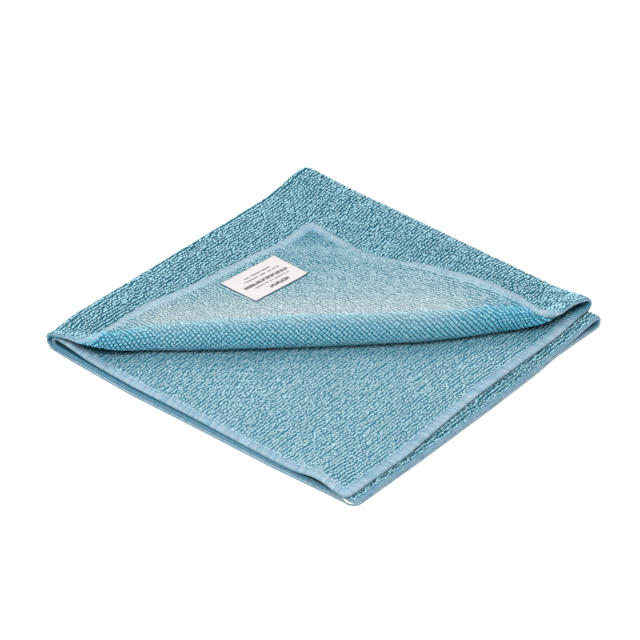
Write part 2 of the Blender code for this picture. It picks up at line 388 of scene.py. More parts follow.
class LABEL_PG_settings(bpy.types.PropertyGroup):
    """Sizes and colours of the label."""

    length: a_length("Length", "Length of the label along the hem", 40)
    width: a_length("Width", "Width of the label away from the hem", 25.5)
    from_corner: a_length("From corner", "Distance of the label from the cloth's corner", 43.5)
    from_edge: a_length("From edge", "Distance of the label from the cloth's cut edge", 10.2)
    thickness: a_length("Thickness", "Thickness of the tape", 0.24)
    height: a_length("Height", "Height of the tape over the middle of the cloth", 1.35)
    tape_colour: a_colour("Tape", "Colour of the tape", 0.54, 0.51, 0.51)
    bar_colour: a_colour("Bars", "Colour of the plain bars on the tape", 0.10, 0.09, 0.10)


class STAGE_PG_settings(bpy.types.PropertyGroup):
    """Camera, floor and lights."""

    azimuth: an_angle("Azimuth", "Direction the camera looks from, about Z", 39.334)
    elevation: an_angle("Elevation", "Height of the camera over the table", 35.158)
    roll: an_angle("Roll", "Turn of the camera about its own axis", 1.184)
    distance: a_length("Distance", "Distance of the camera from the cloth", 1500)
    aim_right: a_length("Aim right", "Where the camera aims, right of the middle", -2.106)
    aim_up: a_length("Aim up", "Where the camera aims, above the middle", 9.096)
    lens: a_number("Lens", "Focal length on a 36 mm sensor, in millimetres", 166.42)
    floor_colour: a_colour("Floor", "Colour of the floor", 0.9, 0.9, 0.9)
    sky: a_number("Sky", "Strength of the even light from all round", 0.6)
    back: a_number("Back light", "Power of the softbox behind, in watts", 6)
    key: a_number("Key light", "Power of the softbox in front, in watts", 32)


# ---- shader maths


class Value:
    """A socket of a node tree, on which + - * / and abs add Math nodes."""

    def __init__(self, finish, socket):
        self.finish = finish
        self.socket = socket

    def math(self, operation, *others):
        return self.finish.node(
            "ShaderNodeMath", {"operation": operation}, {0: self, **dict(enumerate(others, 1))}
        )

    def __add__(self, other):
        return self.math("ADD", other)

    __radd__ = __add__

    def __sub__(self, other):
        return self.math("SUBTRACT", other)

    def __rsub__(self, other):
        return (self * -1) + other

    def __mul__(self, other):
        return self.math("MULTIPLY", other)

    __rmul__ = __mul__

    def __truediv__(self, other):
        return self.math("DIVIDE", other)

    def __abs__(self):
        return self.math("ABSOLUTE")


class Finish:
    """A Principled material in the making."""

    def __init__(self, name, **constants):
        self.material = bpy.data.materials.new(name)
        self.material.use_nodes = True
        self.tree = self.material.node_tree
        self.shader = self.tree.nodes["Principled BSDF"]
        for socket, value in constants.items():
            self.shader.inputs[socket.replace("_", " ")].default_value = value

    def node(self, kind, settings=(), inputs=(), output=0):
        """Adds any node: its settings first, then the values or links of its sockets."""
        made = self.tree.nodes.new(kind)
        for name, value in dict(settings).items():
            setattr(made, name, value)
        for key, value in dict(inputs).items():
            if isinstance(value, Value):
                self.tree.links.new(value.socket, made.inputs[key])
            else:
                made.inputs[key].default_value = value
        return Value(self, made.outputs[output])

    def feed(self, socket, value):
        self.tree.links.new(value.socket, self.shader.inputs[socket])

    def blend(self, share, low, high):
        """Mixes two colours by a share from 0 to 1."""
        colours = {
            6: low if isinstance(low, Value) else (*low, 1),
            7: high if isinstance(high, Value) else (*high, 1),
        }
        settings = {"data_type": "RGBA", "clamp_factor": True}
        return self.node("ShaderNodeMix", settings, {0: share, **colours}, output=2)

    def step(self, value, low, high):
        """A smooth step from 0 at `low` to 1 at `high`."""
        settings = {"interpolation_type": "SMOOTHSTEP"}
        return self.node("ShaderNodeMapRange", settings, {0: value, 1: low, 2: high})

    def noise(self, scale, detail, where):
        inputs = {"Scale": scale, "Detail": detail, "Vector": where}
        return self.node("ShaderNodeTexNoise", {}, inputs)

    def object_place(self):
        return self.node("ShaderNodeTexCoord", output=3)

    def attribute(self, name):
        return self.node("ShaderNodeAttribute", {"attribute_name": name}, output=2)

    def cut_place(self, map_name="cloth"):
        """The two coordinates of a UV map, each from 0 to 1."""
        where = self.node("ShaderNodeUVMap", {"uv_map": map_name})
        parts = self.node("ShaderNodeSeparateXYZ", {}, {0: where})
        node = parts.socket.node
        return where, Value(self, node.outputs[0]), Value(self, node.outputs[1])

    def bump(self, height, distance):
        inputs = {"Distance": distance, "Height": height}
        self.feed("Normal", self.node("ShaderNodeBump", {}, inputs))


def scaled(colour, gain):
    """A colour made lighter or darker."""
    return tuple(part * gain for part in colour)


def paled(colour, share):
    """A colour moved towards a light grey."""
    return tuple(part + (0.85 - part) * share for part in colour)


KNIT_WANDER = 60  # scale of the noise that the knit's rows wander with
KNIT_GRAIN = 420
RIDGE_SHARE, BEAD_SHARE, GRAIN_SHARE = 0.6, 0.2, 0.4  # of the knit's relief
KNIT_PALENESS = 0.1  # share of the pile's colour at the top of the relief
KNIT_SHEEN = 0.35  # share of the painted sheen's colour where a painted highlight is marked
KNIT_RELIEF = 0.5 * MM
HEM_EDGE = 0.4 * MM  # half the width over which the hem's ground fades out


def knit_finish(name, settings, gain, grey, hem_width):
    """The knit between and under the loops: rows along v, and the hem's ground."""
    finish = Finish(name, Roughness=0.95, Specular_IOR_Level=0.1)
    where, across, along = finish.cut_place()
    u = (across - 0.5) * CUT
    v = (along - 0.5) * CUT
    drift = finish.noise(KNIT_WANDER, 2, where) - 0.5
    row = (u / settings.row_pitch + drift * 0.8) * math.tau
    ridge = row.math("COSINE") * -0.5 + 0.5
    beads = (v / settings.loop_step + drift * 2) * math.tau
    bead = beads.math("COSINE") * 0.5 + 0.5
    grain = finish.noise(KNIT_GRAIN, 3, where)
    relief = ridge * RIDGE_SHARE + bead * BEAD_SHARE + grain * GRAIN_SHARE
    light = finish.step(relief, 0.35, 1.0) * KNIT_PALENESS
    # The ground has the deep colour of the painted shade. It is deepest where painted shade is
    # marked and a little greyer elsewhere, and it takes the painted sheen where a painted
    # highlight is marked.
    painted_light = finish.attribute("painted_light")
    deep_shade = scaled(settings.deep_shade_colour, gain)
    ground = finish.blend(painted_light * -1, paled(deep_shade, grey), deep_shade)
    colour = finish.blend(light, ground, settings.pile_colour)
    colour = finish.blend(painted_light * KNIT_SHEEN, colour, settings.painted_light_colour)
    # Under the hem the knit takes the hem's painted shade colour, which shows between the
    # stitches.
    far = abs(u).math("MAXIMUM", abs(v))
    hem = finish.step(far, HALF - hem_width - HEM_EDGE, HALF - hem_width + HEM_EDGE)
    finish.feed("Base Color", finish.blend(hem, colour, settings.hem_shade_colour))
    finish.bump(relief, KNIT_RELIEF)
    return finish.material


LOOP_SHEEN = 0.4  # share of the painted sheen's colour where a painted highlight is marked
SHADE_DEPTH = 0.7  # share of its pale tip that a loop loses where painted shade is marked
SHADE_RISE = 1.4  # how soon such a loop's root has the full deep colour of the painted shade
ROOT_GREY = 0.3  # share of a paler yarn's grey at its root, part of a painted sheen


def loop_finish(name, settings, root_gain, tip_gain, paler, shine):
    """The yarn of the loops: deep in colour at the root, darkened there as painted shade, and
    pale at the tip.
    """
    finish = Finish(name, Roughness=0.45, Specular_IOR_Level=shine)
    reach = finish.attribute("reach")
    tint = finish.attribute("tint")
    painted_light = finish.attribute("painted_light")
    mottle = finish.noise(45, 3, finish.object_place())
    share = finish.step(reach, 0.15, 0.8) * (tint * 0.7 + mottle * 0.5 + 0.35)
    # Painted shade takes paleness from the tips and deepens the roots; a painted highlight mixes
    # in the painted sheen's colour.
    share = share * (painted_light.math("MINIMUM", 0) * SHADE_DEPTH + 1)
    deep_shade = scaled(settings.deep_shade_colour, root_gain)
    root = finish.blend(painted_light * -SHADE_RISE, paled(deep_shade, max(paler, 0) * ROOT_GREY), deep_shade)
    tip = scaled(paled(settings.pile_colour, paler), tip_gain)
    colour = finish.blend(share, root, tip)
    finish.feed("Base Color", finish.blend(painted_light * LOOP_SHEEN, colour, settings.painted_light_colour))
    return finish.material


def hem_finish(settings):
    """The thread of the hem: a paler, bluer yarn than the pile, going to the painted shade's
    colour where its rings are marked darker.
    """
    finish = Finish("hem_thread", Roughness=0.6, Specular_IOR_Level=0.35)
    tint = finish.attribute("tint")
    reach = finish.attribute("reach")
    place = finish.object_place()
    twist = finish.noise(900, 2, place)
    share = reach * (tint * 0.45 + twist * 0.5 + 0.4)
    cool = finish.step(finish.noise(420, 3, place), 0.3, 0.7)
    thread = finish.blend(cool, settings.hem_colour, settings.hem_tint)
    finish.feed("Base Color", finish.blend(share, settings.hem_shade_colour, thread))
    return finish.material


# Plain bars on the label, as shares of its width from the hem and of its length
BARS = (
    # across, half height, from, to
    (0.25, 0.014, 0.26, 0.76),
    (0.36, 0.014, 0.20, 0.86),
    (0.53, 0.040, 0.10, 0.90),
    (0.66, 0.012, 0.21, 0.85),
    (0.83, 0.045, 0.38, 0.74),
)
WORDS = 9  # gaps along the longest bar


def tape_finish(settings):
    """Woven tape with plain grey bars."""
    finish = Finish("tape", Roughness=0.55, Sheen_Weight=0.1)
    where, along, across = finish.cut_place("tape")
    ink = None
    word = finish.step(finish.noise(WORDS * 2.4, 0, where), 0.36, 0.42)
    for middle, half, low, high in BARS:
        row = finish.step(abs(across + (middle - 1)), half + 0.008, half)
        span = finish.step(along, low, low + 0.01) * finish.step(along, high, high - 0.01)
        bar = row * span * word
        ink = bar if ink is None else ink.math("MAXIMUM", bar)
    finish.feed("Base Color", finish.blend(ink, settings.tape_colour, settings.bar_colour))
    weave = (along * 300).math("SINE") * (across * 200).math("SINE")
    finish.bump(weave, 0.05 * MM)
    return finish.material


# ---- mesh helpers


def link(name, data, *materials):
    """A new object in the scene, with its materials if it is a mesh."""
    piece = bpy.data.objects.new(name, data)
    bpy.context.scene.collection.objects.link(piece)
    for material in materials:
        data.materials.append(material)
    return piece


def read(items, key, width=1, kind=float):
    """One property of all the points, faces or corners of a mesh, `width` numbers each."""
    values = np.empty(len(items) * width, kind)
    items.foreach_get(key, values)
    return values.reshape(-1, width) if width > 1 else values


def keep(mesh, name, values):
    """Stores a number for each point of a mesh, for its material to read."""
    attribute = mesh.attributes.new(name, "FLOAT", "POINT")
    attribute.data.foreach_set("value", values.astype(np.float32))


def to_mesh(bm, name):
    """The mesh of a finished bmesh."""
    mesh = bpy.data.meshes.new(name)
    bm.to_mesh(mesh)
    bm.free()
    return mesh


def formed_grid(name, u_lines, v_lines, shape, map_name):
    """A grid moved by `shape` from (u, v) to space, with a UV map of its cells.

    Returns the mesh, and u and v of its points.
    """
    bm = bmesh.new()
    cells = len(u_lines) - 1, len(v_lines) - 1
    bmesh.ops.create_grid(bm, x_segments=cells[0], y_segments=cells[1], size=0.5)
    bm.verts.ensure_lookup_table()
    at = np.array([vert.co[:2] for vert in bm.verts])
    i, j = np.rint((at + 0.5) * cells).astype(int).T
    u, v = u_lines[i], v_lines[j]
    for vert, point in zip(bm.verts, shape(u, v)):
        vert.co = point
    across = (u - u_lines[0]) / np.ptp(u_lines)
    along = (v - v_lines[0]) / np.ptp(v_lines)
    layer = bm.loops.layers.uv.new(map_name)
    for face in bm.faces:
        for corner in face.loops:
            k = corner.vert.index
            corner[layer].uv = (across[k], along[k])
    return to_mesh(bm, name), u, v


def apply_modifiers(piece):
    """Makes what the modifiers show the piece's own mesh."""
    graph = bpy.context.evaluated_depsgraph_get()
    mesh = bpy.data.meshes.new_from_object(piece.evaluated_get(graph))
    mesh.name = piece.name
    piece.modifiers.clear()
    piece.data = mesh


def thickened(name, mesh, thickness, *materials):
    """A piece whose surface is given its thickness, half to each side."""
    mesh.shade_smooth()
    piece = link(name, mesh, *materials)
    thick = piece.modifiers.new("Thickness", "SOLIDIFY")
    thick.thickness = thickness
    thick.offset = 0
    thick.material_offset = len(materials) - 1
    apply_modifiers(piece)
    return piece


def yarn_template(sides, rings):
    """A straight tube of unit radius and height, with a UV map over its cell."""
    bm = bmesh.new()
    bmesh.ops.create_cone(bm, segments=sides, radius1=1, radius2=1, depth=1, cap_ends=False)
    long = [e for e in bm.edges if abs(e.verts[0].co.z - e.verts[1].co.z) > 0.5]
    bmesh.ops.subdivide_edges(bm, edges=long, cuts=rings - 2)
    layer = bm.loops.layers.uv.new("OFBake")
    for face in bm.faces:
        turns = [math.atan2(c.vert.co.y, c.vert.co.x) / math.tau % 1 for c in face.loops]
        over = max(turns) - min(turns) > 0.5
        for corner, turn in zip(face.loops, turns):
            turn += 1 if over and turn < 0.5 else 0
            corner[layer].uv = (turn / 1.3, corner.vert.co.z + 0.5)
    mesh = to_mesh(bm, "yarn")
    mesh.shade_smooth()
    return mesh


def many_yarns(name, sides, centre, wide, high, tint, painted_light, reach):
    """Joins one tube for each row of `centre` (yarn, ring, xyz) into a mesh.

    `wide` and `high` are the half axes of the tube at each ring, as vectors.
    `tint` is a number for each yarn, and so is the next argument, its painted
    highlight (above 0) or painted shade (below 0); `reach` is a pair of paleness
    for each ring: on the middle line of the tube, and what its upper side adds.
    """
    count, rings = centre.shape[:2]
    template = yarn_template(sides, rings)
    each = len(template.vertices)
    at = read(template.vertices, "co", 3)
    ring = np.rint((at[:, 2] + 0.5) * (rings - 1)).astype(int)
    helper = link(name, template)
    array = helper.modifiers.new("Yarns", "ARRAY")
    array.count = count
    apply_modifiers(helper)
    mesh = helper.data
    bpy.data.objects.remove(helper)
    points = (
        centre[:, ring]
        + wide[:, ring] * at[None, :, 0, None]
        + high[:, ring] * at[None, :, 1, None]
    )
    points[..., 2] = np.maximum(points[..., 2], 0.02 * MM)
    mesh.vertices.foreach_set("co", points.ravel())
    cells = math.ceil(math.sqrt(count))
    layer = mesh.uv_layers["OFBake"]
    uv = read(layer.data, "uv", 2).reshape(count, -1, 2)
    cell = np.stack([np.arange(count) % cells, np.arange(count) // cells], axis=-1)
    uv = (cell[:, None] + 0.05 + 0.9 * uv) / cells
    layer.data.foreach_set("uv", uv.ravel())
    paleness = reach[..., 0][:, ring] + reach[..., 1][:, ring] * at[None, :, 1]
    keep(mesh, "tint", np.repeat(tint, each))
    keep(mesh, "painted_light", np.repeat(painted_light, each))
    keep(mesh, "reach", paleness.ravel())
    mesh.shade_smooth()
    mesh.update()
    return mesh


def attach(piece, node):
    """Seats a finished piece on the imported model, whose slots are named as its nodes."""
    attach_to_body(piece, BODY)
    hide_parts(node)


# ---- the sheet


# how far each size of cell goes, and that size: fine where the cloth shows or turns
U_CELLS = (-200, 1), (-194, 1.5), (-10, 15), (10, 1.25), (194, 1.6), (200, 1.5)
V_CELLS = (-200, 1), (-194, 1.5), (-8, 3), (8, 1), (194, 1.6), (200, 1.5)


def grid_lines(cells):
    """Grid lines over the square of cloth, from a table of cells."""
    lines = [cells[0][:1]]
    for (low, _), (high, cell) in zip(cells, cells[1:]):
        lines.append(np.linspace(low, high, round((high - low) / cell) + 1)[1:])
    return np.concatenate(lines) * MM


def two_charts(mesh):
    """Lays the two sides of the sheet side by side in the map that a bake uses."""
    place = read(mesh.uv_layers["cloth"].data, "uv", 2)
    sides = read(mesh.polygons, "material_index", kind=np.int32)
    corners = read(mesh.polygons, "loop_total", kind=np.int32)
    side = np.repeat(np.minimum(sides, 1), corners)
    chart = np.stack([0.5 * (place[:, 1] + side), place[:, 0]], axis=-1)
    layer = mesh.uv_layers.new(name="OFBake")
    layer.data.foreach_set("uv", chart.ravel())


def make_sheet(settings):
    def shape(u, v):
        return lay(*rounded(u, v)) + SEAT

    u_lines, v_lines = grid_lines(U_CELLS), grid_lines(V_CELLS)
    mesh, u, v = formed_grid("cloth_sheet", u_lines, v_lines, shape, "cloth")
    # Painted highlight and painted shade for the knit's colour.
    keep(mesh, "painted_light", painted_light_at(u, v))
    inner = knit_finish("knit_inner", settings, 1.3, 0.035, settings.hem_width * 0.4)
    outer = knit_finish("knit_outer", settings, 0.9, 0, settings.hem_width * WRAP[-1][0])
    piece = thickened("cloth_sheet", mesh, settings.core, inner, outer)
    two_charts(piece.data)
    return piece


# ---- the loops

LOOP_SIDES = 3
STRANDS = 2
STRAND_APART = 0.25 * MM  # each strand's distance from the middle of its loop
LOOP_TURN = math.radians(14)  # spread of the loops' directions about their row
LOOP_LEAN = 0.15
LOOP_JITTER = 0.1  # spread of the loops' places, in rows and in steps
LOOP_SLIP, STRAND_JITTER = 0.16 * MM, 0.05 * MM
SPAN_SPREAD, HEIGHT_SPREAD, YARN_SPREAD = (0.85, 1.15), (0.6, 1.25), (0.85, 1.2)
ROW_DRIFT = 0.18  # how far a row wanders, in rows
DRIFT_LENGTH = 8 * MM
FLAP_MARGIN = 5 * MM  # loops go on this far under what lies over them
LABEL_MARGIN = 0.6 * MM
OPEN_END = 95 * MM, 110 * MM  # stations where the roll ends and more lies open
FLAP_START = 2 * MM  # loops of the flap begin this far past the start of the roll
ROUND_LENGTH = 25 * MM  # of the loops that stand on the roll's rounded front
CREST_LENGTH = 28 * MM  # from the start of the roll to its crest
# widths of the crest's painted highlight, before and behind the crest
CREST_FRONT = 9 * MM
CREST_BACK = 13 * MM
CREST_WEST = -118 * MM, -78 * MM  # stations between which the crest's painted highlight sets in
CREST_EAST = 100 * MM, 50 * MM
END_LOSS = 0.6  # painted light that the two ends of the roll lack, which leaves them in painted shade
FLAP_HIGHLIGHT, FLAP_LOSS = 0.35, 1.0  # painted highlight behind the crest, and how much less at the tip, where it turns to painted shade
FLAP_FADE = 10 * MM, 90 * MM
# painted shade at the foot of the roll, fading out this far before the crest
ROLL_FOOT_SHADE, ROLL_FOOT_FROM = -0.8, 6 * MM
FOOT_SHADE, FOOT_REACH = -0.7, 13 * MM  # painted shade on layer 2, before the roll
# painted shade along the front edge of the third layer, under the hem of the second
EDGE_SHADE, EDGE_REACH, EDGE_START = -0.9, (25 * MM, 15 * MM), (4 * MM, 12 * MM)
# painted shade along the third layer's edge at u = -HALF
SIDE_SHADE, SIDE_REACH = -0.35, (12 * MM, 8 * MM)
LOWER_SPLIT = 120 * MM  # the pile of layer 2 is two pieces, parted at this u
OUTER_BORDER = 0.5 * MM  # bare edge that the loops leave on the outer side
ROW_END_OVER = 2.0 * MM  # how far the ends of the rows lie over the hem
TIGHT_HEM = 0.6  # share of its width that the hem loses where it turns tightly
TIGHT_END = 98 * MM, 116 * MM  # stations between which it comes to that


def drift(u, v, seed):
    """A smooth wander between about -1 and 1 over the cloth."""
    draw = np.random.default_rng(seed)
    total = 0 * u
    for _ in range(6):
        turn, phase = draw.uniform(0, math.tau, 2)
        wave = DRIFT_LENGTH * draw.uniform(0.6, 1.6)
        along = u * math.cos(turn) + v * math.sin(turn)
        total = total + np.sin(along / wave * math.tau + phase)
    return total / 3


def loop_places(settings, side, low_u, high_u, low_v, high_v):
    """Cloth points of a field of loops: rows along v, inside the hem."""
    pitch, step = settings.row_pitch, settings.loop_step
    rows = np.arange(round(low_u / pitch), round(high_u / pitch)) + 0.5
    steps = np.arange(round(low_v / step), round(high_v / step)) + 0.5
    u, v = np.meshgrid(rows * pitch, steps * step, indexing="ij")
    u, v = u.ravel(), v.ravel()
    if side == INNER:
        edge = HALF - settings.hem_width * (1 - TIGHT_HEM * tight_share(u, v))
        inside = (np.abs(u) < edge + 0.2 * MM) & (np.abs(v) < edge + ROW_END_OVER)
    else:
        edge = HALF - OUTER_BORDER
        inside = (np.abs(u) < edge) & (np.abs(v) < edge)
    return np.stack([u[inside], v[inside]])


ROLL_FRONT = ALONG.max(axis=1)


def is_open_top(u, v):
    """True where the outer side of the top layer isn't under the turned-back hem."""
    station, length = roll_place(u, v)
    reach = HALF * ROOT_TWO - FOLDED / ROOT_TWO - np.abs(station)
    hem = read_profile(ALONG, station, np.maximum(reach, 0))
    margin = FLAP_MARGIN + 8 * MM * ease(*OPEN_END, np.abs(station))
    return length < hem + margin


def before_roll(station, length):
    """How far a point of layer 2 lies in front of the roll."""
    return length - np.interp(station, STATIONS, ROLL_FRONT)


def past_start(station, length):
    """How far a point of the top layer is past the start of the roll."""
    return length - column(ROLL, 1, station)


def painted_light_at(u, v):
    """How much painted highlight (to 1) or painted shade (to -1) the pile gets.

    The crest of the roll gets a painted highlight, the flap less so towards its
    tip, where it and the roll's ends turn to painted shade.  The foot of the roll,
    the pile before it and the lower layers' front edge and side get painted shade.
    """
    station, length = roll_place(u, v)
    past = past_start(station, length) - CREST_LENGTH
    near = np.exp(-((past / np.where(past > 0, CREST_BACK, CREST_FRONT)) ** 2))
    middle = ease(*CREST_WEST, station) * ease(*CREST_EAST, station)
    near = near * middle
    flap = FLAP_HIGHLIGHT - FLAP_LOSS * ease(*FLAP_FADE, past)
    foot = ROLL_FOOT_SHADE * ease(ROLL_FOOT_FROM, CREST_LENGTH, -past)
    top = near + (1 - near) * np.where(past > 0, flap, foot) - END_LOSS * (1 - middle)
    second = FOOT_SHADE * np.exp(-((before_roll(station, length) / FOOT_REACH) ** 2))
    edge = EDGE_SHADE * ease(*EDGE_REACH, HALF + v) * ease(*EDGE_START, HALF + u)
    edge = edge + SIDE_SHADE * ease(*SIDE_REACH, HALF + u)
    layers = [(u > 0) & (v > 0), (u > 0) & (v < 0), (u < 0) & (v < 0)]
    return np.select(layers, [top, second, edge], 0)


def tight_share(u, v):
    """1 where the hem of the top layer turns tightly at the ends of the roll."""
    station, _ = roll_place(u, v)
    return np.where((u > 0) & (v > 0), ease(*TIGHT_END, np.abs(station)), 0)


def label_box(label, margin):
    """Lowest and highest u and v of the label, and a margin round it."""
    u, v = HALF - label.from_corner, HALF - label.from_edge
    return u - label.length - margin, u + margin, v - label.width - margin, v + margin


def off_label(u, v, label):
    """True where the label doesn't cover the cloth."""
    u_low, u_high, v_low, v_high = label_box(label, LABEL_MARGIN)
    return (u < u_low) | (u > u_high) | (v < v_low) | (v > v_high)


def make_loops(name, settings, places, side, seed, material, size=1.0, rings=5):
    """Loops of two strands, standing on one side of the cloth at some places of it."""
    draw = np.random.default_rng(seed)
    u, v = places
    _, _, _, inward = directions(u, v)
    loose = ease(0.3, 0.95, np.abs(inward[:, 2])) * 0.85 + 0.15
    sway = draw.normal(0, LOOP_JITTER, len(u))
    sway = sway + ROW_DRIFT * drift(u, v, seed)
    u = u + sway * settings.row_pitch * loose
    v = v + draw.normal(0, LOOP_JITTER, len(u)) * settings.loop_step * loose
    u, v, loose = (np.repeat(part, STRANDS) for part in (u, v, loose))
    level = ease(0.3, 1, loose)
    count = len(u)
    hand = np.tile([-1.0, 1.0], count // STRANDS)
    place, along_u, along_v, inward = directions(u, v)
    out = inward * side
    turn = (draw.normal(0, LOOP_TURN, count) * loose)[:, None]
    lie = along_v * np.cos(turn) + along_u * np.sin(turn)
    cross = np.cross(out, lie)
    beside = hand * STRAND_APART * (1.4 - 0.4 * level)
    beside = beside + draw.normal(0, STRAND_JITTER, count)
    place = place + cross * beside[:, None]
    place = place + lie * draw.normal(0, LOOP_SLIP, (count, 1))
    span = settings.loop_span * size * (0.8 + 0.2 * loose)
    span = (span * draw.uniform(*SPAN_SPREAD, count))[:, None, None]
    height, yarn = settings.loop_height * size, settings.yarn * size
    tall = height * draw.uniform(*HEIGHT_SPREAD, count)[:, None, None]
    lean = (draw.normal(0, LOOP_LEAN, count) * loose)[:, None, None]
    t = np.linspace(0, math.pi, rings)[None, :, None]
    root = settings.core / 2 - 0.1 * MM
    up = np.sin(t) ** (1 - 0.5 * level[:, None, None])
    centre = (
        place[:, None]
        + out[:, None] * (root + tall * up)
        - lie[:, None] * (span / 2) * np.cos(t)
        + cross[:, None] * lean * tall * up
    )
    bulge = yarn * (0.98 + 0.45 * up) * (1.35 - 0.35 * level[:, None, None])
    # Painted highlight (above 0) or painted shade (below 0) on the pile, none on the outer side
    # of the top layers; the yarn also swells where the highlight is painted.
    painted_light = painted_light_at(u, v)
    if side == OUTER:
        painted_light = np.where(u > 0, 0, painted_light)
    bulge = bulge * (1 + 0.25 * np.maximum(painted_light, 0))[:, None, None]
    wide = cross[:, None] * bulge * draw.uniform(*YARN_SPREAD, count)[:, None, None]
    high = (out[:, None] * np.sin(t) - lie[:, None] * np.cos(t)) * bulge
    # Paleness of each ring: low at the root, where painted shade falls between the loops, full at
    # the tip.
    reach = np.concatenate([tall * up, bulge * np.sin(t)], axis=-1)
    reach = reach / (height * 1.1 + yarn)
    tint = draw.uniform(0, 1, count)
    mesh = many_yarns(name, LOOP_SIDES, centre, wide, high, tint, painted_light, reach)
    return link(name, mesh, material)


# ---- the hem

STITCH_SIDES = 5
STITCH_RISE = 0.22 * MM  # half thickness of a stitch
STITCH_SPREAD = 0.6  # half width of a stitch, in pitches
STITCH_SLANT = 0.8
FOLD_SHADE_REACH = 15 * MM  # reach of the painted shade inside a fold
HEM_PAINTED_LIGHT = (1.0, 0.8, 0.35, 0.8)  # of the hem on the layers, from the top down; the third's is low, painted shade under the second's hem
LOWER_SIDE_PAINTED_LIGHT = 0.9  # along the two lower hems of the +X side, lifting their painted shade
LOWER_SIDE = 20 * MM, 6 * MM  # from the edge, where that paleness begins and is full
LAYER_BLEND = 8 * MM
WRAP = (
    # how far in from the cut edge, height over the inner side, paleness (low as painted shade on
    # the underside and at the ends)
    (1.0, 0.40, 0.1),
    (0.88, 0.76, 0.7),
    (0.4, 0.92, 1.0),
    (0.0, 0.84, 1.1),
    (-0.05, 0.1, 0.8),
    (0.0, -0.70, 0.4),
    (0.10, -0.77, 0.45),
    (0.18, -0.62, 0.4),
    (0.23, -0.35, 0.1),
)


def hem_path(pitch):
    """Points, directions and inward normals every `pitch` round the cut edge."""
    side = np.arange(-HALF, HALF, 0.25 * MM)
    flat = np.full_like(side, HALF)
    u = np.concatenate([side, flat, -side, -flat])
    v = np.concatenate([-flat, side, flat, -side])
    points = np.stack(rounded(u, v), axis=-1)
    closed = np.vstack([points, points[:1]])
    run = np.concatenate([[0], np.cumsum(np.linalg.norm(np.diff(closed, axis=0), axis=1))])
    count = int(run[-1] / pitch)
    at = np.arange(count) * run[-1] / count
    place = np.stack([np.interp(at, run, closed[:, k]) for k in (0, 1)], axis=-1)
    ahead = unit(np.roll(place, -1, axis=0) - np.roll(place, 1, axis=0))
    inward = np.stack([-ahead[:, 1], ahead[:, 0]], axis=-1)
    return place, ahead, inward


def open_share(u, v):
    """Near 1 where a hem's inner side is open to the light, less inside the folds, where painted
    shade darkens it.
    """
    inside = np.exp(-((v / FOLD_SHADE_REACH) ** 2))
    inside = inside + np.where(v > 0, np.exp(-((u / FOLD_SHADE_REACH) ** 2)), 0)
    return 1 - 0.9 * np.minimum(inside, 1)


def hem_painted_light(u, v):
    """The paleness of the layers' hems, blended round the folds; lower where a layer is given
    painted shade.
    """
    first, second, third, fourth = HEM_PAINTED_LIGHT
    far = ease(-LAYER_BLEND, LAYER_BLEND, v)
    upper = ease(-LAYER_BLEND, LAYER_BLEND, u)
    return mix(mix(third, fourth, far), mix(second, first, far), upper)


def make_hem(settings):
    """Overlock stitches: each wraps the cut edge from one side to the other."""
    draw = np.random.default_rng(11)
    pitch = settings.stitch_pitch
    place, ahead, inward = hem_path(pitch)
    count = len(place)
    wrap = np.array(WRAP)
    rings = len(wrap)
    depth = wrap[None, :, 0] * settings.hem_width
    depth = depth * np.where(wrap[:, 0] > 0.5, draw.uniform(0.93, 1.07, (count, 1)), 1)
    tight = tight_share(place[:, :1], place[:, 1:])
    depth = depth * (1 - TIGHT_HEM * tight)
    slant = wrap[None, :, 0] * pitch * STITCH_SLANT
    slant = np.where(np.arange(rings) > rings // 2, slant, -slant)
    at = place[:, None] + inward[:, None] * depth[..., None]
    at = at + ahead[:, None] * slant[..., None]
    u, v = at[..., 0], at[..., 1]
    middle, along_u, along_v, inner = directions(u, v)
    height = wrap[None, :, 1] * MM * draw.uniform(0.96, 1.04, (count, 1))
    height = height * (1 - 0.15 * tight)
    centre = middle + inner * height[..., None]
    run = along_u * ahead[:, None, :1] + along_v * ahead[:, None, 1:]
    path = unit(np.gradient(centre, axis=1))
    wide = unit(run - path * np.sum(run * path, axis=-1, keepdims=True))
    high = np.cross(path, wide)
    half_width = STITCH_SPREAD * pitch * draw.uniform(0.85, 1.15, (count, 1, 1))
    # Paleness of each ring: painted shade on the stitches' underside and ends, inside the folds
    # and on the third layer's hem.
    reach = np.zeros((count, rings, 2)) + wrap[:, 2:] * (1, 0.15)
    reach = reach * np.where(wrap[:, 1:2] > 0.3, open_share(u, v)[..., None], 1)
    paleness = mix(hem_painted_light(u, v), LOWER_SIDE_PAINTED_LIGHT, ease(*LOWER_SIDE, HALF + u))
    reach = reach * paleness[..., None]
    wide, high = wide * half_width, high * STITCH_RISE
    tint = draw.uniform(0, 1, count)
    name = "hem_stitches"
    mesh = many_yarns(name, STITCH_SIDES, centre, wide, high, tint, np.zeros(count), reach)
    return link(name, mesh, hem_finish(settings))


# The loose end of the hem thread by the front corner: x, y, z
TAIL = (93.0, -98.2, 3.9), (95.0, -98.6, 3.3), (97.0, -98.6, 2.9), (99.0, -98.0, 2.9)
TAIL_SIDES = 6
TAIL_RINGS = 8
TAIL_RADIUS = 0.5 * MM


